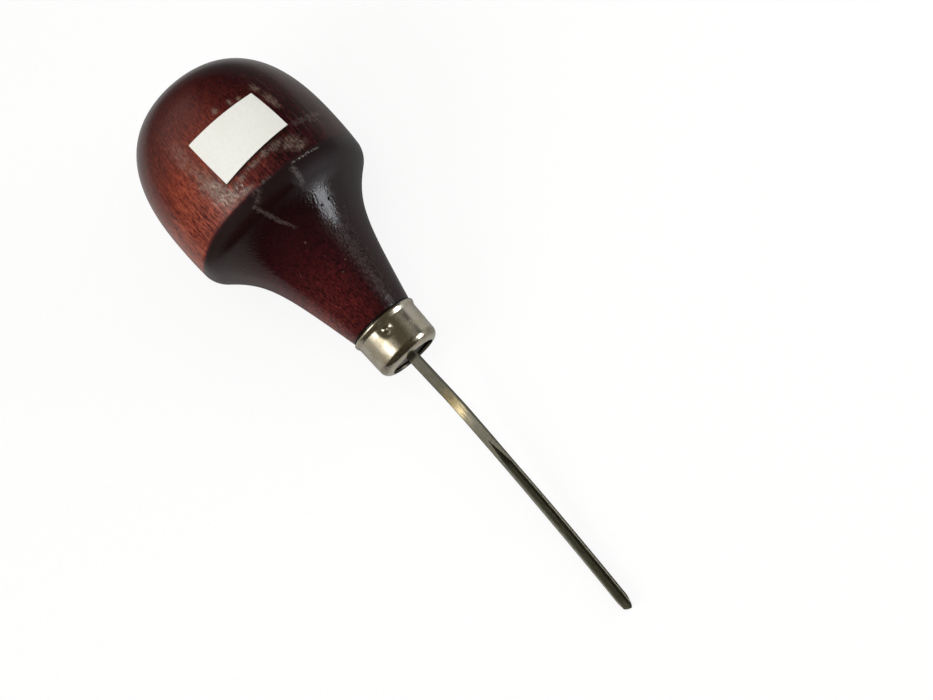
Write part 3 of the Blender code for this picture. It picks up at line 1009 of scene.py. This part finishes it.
# half of the section: points (sideways, depth under the top face), how far each is down the
# groove, and the top's height
def halfSection(distance):
    b = blade
    mouth = -handle["tenonRecess"]
    full = share(distance, mouth - b["tangLength"], mouth)
    half = (b["tangPoint"] + (b["shankWidth"] - b["tangPoint"]) * full) / 2
    thick = b["tangPoint"] + (b["shankThickness"] - b["tangPoint"]) * full
    flared = share(distance, b["crankAt"], b["crankAt"] + b["flareSpan"])
    half += (b["width"] - b["shankWidth"]) / 2 * flared
    opened = share(distance, b["grooveAt"], grooveFull)
    lip = (half - b["landWidth"]) * opened
    lean = tan(b["grooveAngle"] / 2)
    depth = lip / lean
    keel = (half - b["landWidth"]) / lean + b["keelWall"]
    brk, low, turned = b["edgeBreak"], b["sideHeight"], b["keelRound"]
    plain = [(half, thick - brk), (half - brk, thick), (half / 2, thick), (0, thick)]
    ground = [
        (half, low),
        ((half + turned) / 2, (low + keel) / 2),
        (turned, keel - turned / b["keelEase"]),
        (0, keel),
    ]
    under = between(plain, ground, share(distance, crankTo, grooveFull))
    outer = [(half - brk, 0), (half, brk)] + under
    thin = b["cuttingEdge"]
    side = lip - low * lean + thin
    sharp = [
        (lip + thin / 2, 0),
        (lip + thin, thin),
        (side, low),
        ((side + turned) / 2, (low + depth - turned + thin) / 2),
        (turned, depth - turned + thin),
        (0, depth + thin),
    ]
    outer = between(outer, sharp, share(distance, bevelFrom, b["reach"]))
    walls = [(lip * part, depth * (1 - part)) for part in b["wallParts"]]
    walls[0] = (walls[0][0], walls[0][1] + b["rootEase"] * opened)
    inner = [(0, depth * b["rootDepth"])] + walls + [(lip, 0)]
    sunk = [opened * min(1.0, down / depth) if depth else 0.0 for across, down in inner]
    return inner + outer, sunk + [0.0] * len(outer), thick / 2


def bladeSection(distance):
    b = blade
    half, sunk, top = halfSection(distance)
    around = half + [(-side, depth) for side, depth in half[-2:0:-1]]
    nose = b["noseLength"] * share(distance, b["reach"] - b["noseSpan"], b["reach"])
    places = []
    for side, depth in around:
        setBack = nose * (1 - sqrt(1 - min(abs(side) * 2 / b["width"], 1.0) ** 2))
        z, height, slope = alongBlade(distance - setBack)
        rise = top - depth
        places.append(Vector((-height - rise * cos(slope), side, z - rise * sin(slope))))
    return places, sunk + sunk[-2:0:-1]


def makeBladeShape():
    b = blade
    mouth = -handle["tenonRecess"]
    marks = (mouth - b["tangLength"], mouth, 0, b["dipSpan"], crankFrom, crankTo)
    marks += (b["grooveAt"], grooveFull, bevelFrom, b["reach"])
    runs = [np.linspace(*run) for run in zip(marks, marks[1:], b["sections"])]
    stations = np.unique(np.concatenate(runs).round(6))
    shape = bmesh.new()
    groove = shape.verts.layers.float.new("groove")
    ring = [shape.verts.new(place) for place in bladeSection(stations[0])[0]]
    edges = [shape.edges.new((one, two)) for one, two in zip(ring, ring[1:] + ring[:1])]
    first = edges
    for distance in stations[1:]:
        made = bmesh.ops.extrude_edge_only(shape, edges=edges)["geom"]
        fresh = {g for g in made if isinstance(g, bmesh.types.BMVert)}
        ring = [
            next(e.other_vert(v) for e in v.link_edges if e.other_vert(v) in fresh) for v in ring
        ]
        edges = [g for g in made if isinstance(g, bmesh.types.BMEdge) and set(g.verts) <= fresh]
        for vert, place, sunk in zip(ring, *bladeSection(distance)):
            vert.co, vert[groove] = place, sunk
    bmesh.ops.edgeloop_fill(shape, edges=first)
    bmesh.ops.edgeloop_fill(shape, edges=edges)
    tidyShape(shape)
    return shape


# places are distances from the ferrule, from the crank or from the blade's end
blade["steel"] = {
    "fixed": {"Metallic": 1.0},
    "noises": {
        "brushed": (1.0, 2.0, 0.6, (6, 6, 0.35)),
        "cross": (1.0, 3.0, 0.6, (1.5, 1.5, 6)),
        "cloud": (0.7, 3.0, 0.6),
        "speck": (3.0, 3.0, 0.7),
        "streaks": (1.0, 3.0, 0.65, (7, 7, 0.45)),
    },
    "ground": ((0.252, 0.248, 0.203), (0.345, 0.338, 0.282)),
    "groundMix": {"brushed": 0.6, "cross": 0.4},
    "groundRange": (0.35, 0.65),
    "cloudPaint": (0.35, (0.20, 0.195, 0.155)),
    "cloudRange": (0.45, 0.75),
    "insideRange": (0.0, 0.06),
    "scalePaint": (0.8, (0.085, 0.078, 0.055)),
    "scaleRange": (0.45, 0.8),
    "dirtTone": (0.33, 0.34, 0.285),
    "dirtAmount": (0.1, 0.45, 0.3),  # all over the groove, more where it is deep, and uneven
    "dirtRange": (0.05, 0.9),
    "dirtMix": {"speck": 0.4, "brushed": 0.6},
    "deepPaint": (0.22, (0.08, 0.074, 0.05)),
    "deepRange": (0.35, 0.95),
    "darkerPaint": (0.4, (0.08, 0.074, 0.052)),
    "dullPlace": ((15, 20), (31, 26)),
    "wornAndHighlightPaint": (0.9, (0.88, 0.73, 0.42)),
    "brightAt": (0.1, -0.35),  # along and across
    "brightHalf": (4.5, 2.1),
    "brightTear": {"streaks": 1.8, "cloud": 0.5},
    "brightRange": (1.0, 0.15),
    "honedPaint": (0.6, (0.42, 0.41, 0.35)),
    "honedFrom": (-2.4, -0.8),
    "roughness": 0.40,
    "roughBrushed": 0.12,
    "roughMore": {"bright": -0.16, "scale": 0.3},
    "rise": {"brushed": 1.0, "cross": 0.6, "speck": 0.4},
    "bumpDepth": 0.0000012,
}


def makeSteelFinish():
    s = blade["steel"]
    finish, shader, w = newFinish("groundSteel", s["fixed"], s["noises"])
    colour = mixParts(w, s["groundMix"]).step(*s["groundRange"]).blend(*s["ground"])
    colour = w.cloud.step(*s["cloudRange"]).paint(colour, *s["cloudPaint"])
    # the sides keep their dark scale, dirt gathers in the groove, and the groove darkens towards
    # its root
    aside = abs(w.tool.node("NewGeometry", out="Normal").axis(1))
    groove = w.tool.node("Attribute", {"attribute_name": "groove"}, out="Fac")
    inside = groove.step(*s["insideRange"])
    w.scale = aside.step(*s["scaleRange"]) * (1 - inside)
    colour = w.scale.paint(colour, *s["scalePaint"])
    plain, more, uneven = s["dirtAmount"]
    dirt = inside * plain + groove.step(*s["dirtRange"]) * more
    dirt = dirt + mixParts(w, s["dirtMix"]).swing(uneven) * inside
    colour = dirt.blend(colour, s["dirtTone"])
    colour = groove.step(*s["deepRange"]).paint(colour, *s["deepPaint"])
    # darker before the channel, worn shiny at the crank under a painted warm highlight, most on
    # one edge, and honed at the end
    station = w.tool.axis(2)
    reach = station - ferruleFront
    darkerBand = reach.within(*s["dullPlace"]) * (1 - inside)
    colour = darkerBand.paint(colour, *s["darkerPaint"])
    # painted highlight: a warm gold patch on worn steel at the crank
    along = (reach - blade["crankAt"] - s["brightAt"][0]) / s["brightHalf"][0]
    across = (w.tool.axis(1) - s["brightAt"][1]) / s["brightHalf"][1]
    away = (along * along + across * across) ** 0.5 + swingParts(w, s["brightTear"])
    w.bright = away.step(*s["brightRange"]) * (1 - w.scale)
    colour = w.bright.paint(colour, *s["wornAndHighlightPaint"])
    tip = alongBlade(blade["reach"])[0]
    honed = station.step(*(tip + off for off in s["honedFrom"]))
    colour = honed.paint(colour, *s["honedPaint"])
    feed(shader, "Base Color", colour)
    rough = s["roughness"] + w.brushed.swing(s["roughBrushed"]) + mixParts(w, s["roughMore"])
    feed(shader, "Roughness", rough)
    feedBump(shader, mixParts(w, s["rise"]), s["bumpDepth"])
    return finish


finishPiece("vBlade", makeBladeShape(), makeSteelFinish(), "blade", blade["sharpFrom"])


def makeLabelShape():
    p = label
    shape = bmesh.new()
    bmesh.ops.create_grid(shape, x_segments=p["cells"][0], y_segments=p["cells"][1], size=0.5)
    a, b, c, d = (np.array(corner) for corner in p["corners"])
    for vert in shape.verts:
        across, down = vert.co.x + 0.5, 0.5 - vert.co.y
        top, bottom = a * (1 - across) + b * across, d * (1 - across) + c * across
        station, angle = top * (1 - down) + bottom * down
        radius = headRadiusAt(station) * bench["facet"] + p["gap"] + p["lift"]
        vert.co = facing(radians(angle)) * radius + Vector((0, 0, station))
    faceOut(shape)
    middle = shape.faces[:][len(shape.faces) // 2]
    if middle.normal.dot(middle.calc_center_median() * Vector((1, 1, 0))) < 0:
        bmesh.ops.reverse_faces(shape, faces=shape.faces)
    bmesh.ops.solidify(shape, geom=shape.faces[:], thickness=-p["paper"])
    faceOut(shape)
    return shape


def makePaperFinish():
    p = label
    finish, shader, w = newFinish("whitePaper", p["fixed"], p["noises"])
    colour = w.pulp.step(*p["pulpRange"]).blend(*p["whites"])
    colour = w.stain.step(*p["yellowRange"]).paint(colour, *p["yellowPaint"])
    feed(shader, "Base Color", colour)
    feed(shader, "Roughness", w.pulp.spread(*p["roughness"]))
    feedBump(shader, w.pulp, p["bumpDepth"])
    return finish


finishPiece("paperLabel", makeLabelShape(), makePaperFinish(), "label", label["sharpFrom"])

floor = {
    "drop": 0.00005,  # under the tool
    "centre": 0.3,  # a ring that keeps the middle flat
    "reach": 1.7,
    "rimRadius": 0.5,
    "rimArc": (-pi / 2, -0.15),
    "rimPoints": 12,
    "steps": 96,
    "doubles": 0.00001,
    "fixed": {"Roughness": 0.85, "Specular IOR Level": 0.1},
    "colour": (0.5, 0.5, 0.5),
    "farColour": (0.15, 0.15, 0.15),  # beyond the sheet that the tool lies on
    "sheetEdge": (0.112, 0.077),
    "frontEdge": (0.17, 0.11),
    "shade": (-0.041, -0.0065),  # the handle's own shade on the sheet
    "shadeHalf": (0.047, 0.042),
    "seenColour": (1.0, 1.0, 1.0),  # the camera sees this paint under a share of plain white
    "seenWhite": 0.86,
    "glossWhite": 0.04,
}


def makeFloorShape():
    f = floor
    rim = arcPoints(f["reach"], f["rimRadius"], f["rimRadius"], *f["rimArc"], f["rimPoints"])
    outline = [(0.0, 0.0), (f["centre"], 0.0), (f["reach"], 0.0)] + rim[1:]
    shape = spinOutline([(r, z - f["drop"]) for r, z in outline], f["steps"], False)
    bmesh.ops.remove_doubles(shape, verts=shape.verts, dist=f["doubles"])
    faceOut(shape)
    return shape


def makeFloorFinish():
    f = floor
    finish, shader, place = newMaterial("palePaint", f["fixed"])
    x, y = place.axis(0), place.axis(1)
    sheet = ((y - x) * sqrt(0.5)).step(*f["sheetEdge"]) * x.step(*f["frontEdge"])
    aside = (x - f["shade"][0]) / f["shadeHalf"][0]
    beyond = (y - f["shade"][1]) / f["shadeHalf"][1]
    sheet = sheet * (aside * aside + beyond * beyond).step(0.0, 1.0)
    direct = place.node("LightPath", out="Is Camera Ray")
    paint = sheet.blend(f["farColour"], f["colour"])
    feed(shader, "Base Color", direct.blend(paint, f["seenColour"]))
    seen = direct * f["seenWhite"]
    for ray in ("Is Glossy Ray", "Is Transmission Ray"):
        seen = seen.larger(place.node("LightPath", out=ray) * f["glossWhite"])
    white = place.node("Emission")
    painted = Wire(place.tree, shader.outputs[0])
    mixed = place.node("MixShader", {}, {0: seen, 1: painted, 2: white})
    feed(place.tree.nodes["Material Output"], "Surface", mixed)
    return finish


roomColour = (0.104, 0.09, 0.065)
# lamps: point looked at, then azimuth, elevation and distance from it, then width, height
# and roll, then watts, colour, and what shows the lamp's light
lamps = {
    "warmStrip": ((0, 0, 0.02), (-86.5, 64, 0.9), (0.16, 0.4, 0), 0.5, (1, 0.985, 0.95), "both"),
    "softStrip": ((0, 0, 0.02), (-86, 58, 0.91), (0.2, 0.64, 0), 0.26, (1, 0.97, 0.91), "gloss"),
    "dimStrip": ((0, 0, 0.02), (-87, 55, 0.92), (0.24, 0.82, 0), 0.28, (1, 0.96, 0.88), "gloss"),
    "wideGlow": ((0, 0, 0.02), (-92, 46, 0.95), (0.4, 2.2, 0), 1, (1, 0.95, 0.86), "gloss"),
    "backGlow": ((-0.03, 0, 0.03), (-165, 36, 0.9), (0.75, 0.5, 0), 0.34, (1, 0.97, 0.94), "gloss"),
    "lowCard": (
        (-0.0228, 0.0078, 0.0246), (47, -6, 0.073), (0.037, 0.022, 45),
        0.022, (0.9, 0.95, 1), "gloss",
    ),
    "overhead": ((0, 0, 0), (80, 70, 0.55), (0.5, 0.5, 0), 1.97, (1, 1, 1), "surfaces"),
    "rightFill": ((0, 0, 0), (75, 25, 0.55), (0.3, 0.3, 0), 0.93, (1, 1, 1), "surfaces"),
    "sideGlow": ((0, 0, 0.02), (68, 6, 0.9), (0.75, 0.3, 0), 0.3, (1, 0.99, 0.97), "gloss"),
    "sideHaze": ((0, 0, 0.02), (68, 13, 0.92), (0.8, 0.62, 0), 0.27, (1, 0.99, 0.97), "gloss"),
    "leftFill": ((0, 0, 0), (-85, 40, 0.55), (0.4, 0.4, 0), 1.35, (1, 0.99, 0.96), "surfaces"),
}


def makeLight():
    world = bpy.data.worlds.new("dimRoom")
    bpy.context.scene.world = world
    world.use_nodes = True
    sky = world.node_tree.nodes["Background"]
    sky.inputs["Color"].default_value = (*roomColour, 1)
    for name, (aim, stand, size, watts, colour, shownIn) in lamps.items():
        azimuth, elevation, away = stand
        width, height, roll = size
        data = bpy.data.lights.new(name, "AREA")
        data.shape = "RECTANGLE"
        data.size, data.size_y = width, height
        data.energy, data.color = watts, colour
        lamp = addObject(name, data)
        a, e = radians(azimuth), radians(elevation)
        towards = Vector((cos(e) * cos(a), cos(e) * sin(a), sin(e)))
        lamp.location = Vector(aim) + towards * away
        rolled = Matrix.Rotation(radians(roll), 3, "Z")
        lamp.rotation_euler = (towards.to_track_quat("Z", "Y").to_matrix() @ rolled).to_euler()
        lamp.visible_camera = False
        lamp.visible_diffuse = shownIn in ("surfaces", "both")
        lamp.visible_glossy = shownIn in ("gloss", "both")


view = {
    "sensor": 36,
    "focal": 1900 / 933 * 36,
    "clipStart": 0.01,
    "location": (0.12671, 0.08511, 0.32444),
    "right": (0.59077, 0.70537, -0.39172),
    "up": (-0.73176, 0.67293, 0.10814),
    "back": (0.33988, 0.22276, 0.91371),
}


def makeCamera():
    data = bpy.data.cameras.new("photoCamera")
    data.sensor_fit, data.sensor_width = "HORIZONTAL", view["sensor"]
    data.lens, data.clip_start = view["focal"], view["clipStart"]
    camera = addObject("photoCamera", data)
    axes = Matrix((view["right"], view["up"], view["back"])).transposed()
    camera.matrix_world = Matrix.LocRotScale(view["location"], axes.to_quaternion(), None)
    bpy.context.scene.camera = camera


addShape("paleFloor", makeFloorShape(), makeFloorFinish())
makeLight()
makeCamera()
bpy.context.scene.view_settings.view_transform = "Standard"
print("floor, light and camera set")
